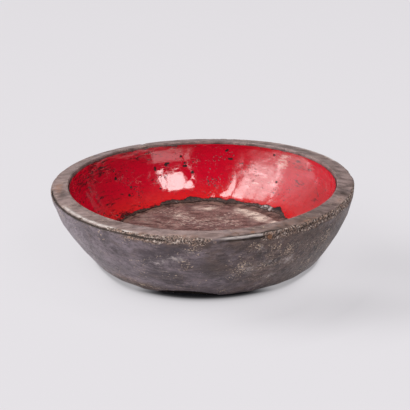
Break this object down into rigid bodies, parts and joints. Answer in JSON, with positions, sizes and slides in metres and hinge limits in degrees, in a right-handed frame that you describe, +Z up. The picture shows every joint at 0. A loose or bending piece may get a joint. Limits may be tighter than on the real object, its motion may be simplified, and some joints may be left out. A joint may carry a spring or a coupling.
{
  "type": "wooden serving bowl",
  "caption": "Hand-hewn wooden serving bowl with a broad flat rim, a dark stained outside, a red lacquered inner wall and a bare worn floor.",
  "frame": {"origin": "on the ground, in the middle of the bowl's outline seen from above", "axes": "+Z up, -Y towards the side that the picture shows in front, +X to that view's right"},
  "size_m": [0.3888, 0.3716, 0.099],
  "materials": {
    "stained_wood": "charcoal grey-brown stain with a satin rub, horizontal grain, pale crust along the worn lip, and bare brown-purple wood on the floor",
    "black_ground": "black lacquer ground, half matt, which shows below the red and in its chips",
    "red_lacquer": "glossy red lacquer, brushed on, chipped and scratched",
    "knot_wood": "reddish-brown end grain of a dead knot"
  },
  "bodies": {
    "root": {"bowl_body": "stained_wood", "ground_coat": "black_ground", "lacquer_coat": "red_lacquer", "rim_knot": "knot_wood"}
  },
  "joints": []
}
